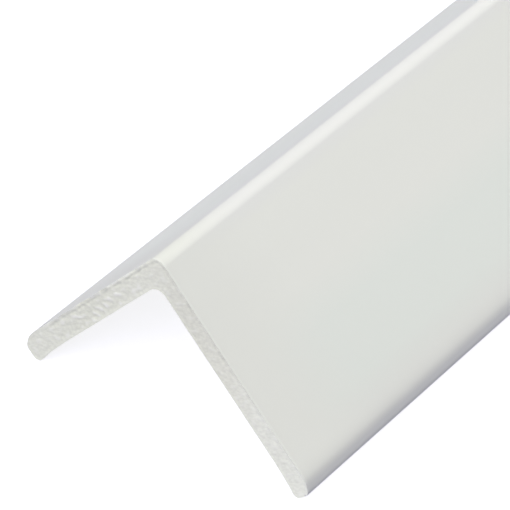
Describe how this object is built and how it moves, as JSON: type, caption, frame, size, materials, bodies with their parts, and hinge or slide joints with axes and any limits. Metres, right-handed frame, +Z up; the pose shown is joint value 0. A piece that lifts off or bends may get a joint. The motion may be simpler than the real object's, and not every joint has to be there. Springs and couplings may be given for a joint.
{
  "type": "angle trim",
  "caption": "Equal-leg corner angle of white rigid PVC, with a rounded corner and toes that turn in, extruded in one piece and sawn to length.",
  "frame": {"origin": "on the floor, under the corner, at the middle of the length", "axes": "+X across the trim towards the right leg, +Y along it from the sawn end to the square end, +Z up through the corner"},
  "size_m": [0.0342, 1, 0.0187],
  "materials": {
    "white_pvc": "semi-gloss white rigid PVC with a cool grey cast, and a rough sawn end"
  },
  "bodies": {
    "root": {"angle_trim": "white_pvc"}
  },
  "joints": []
}
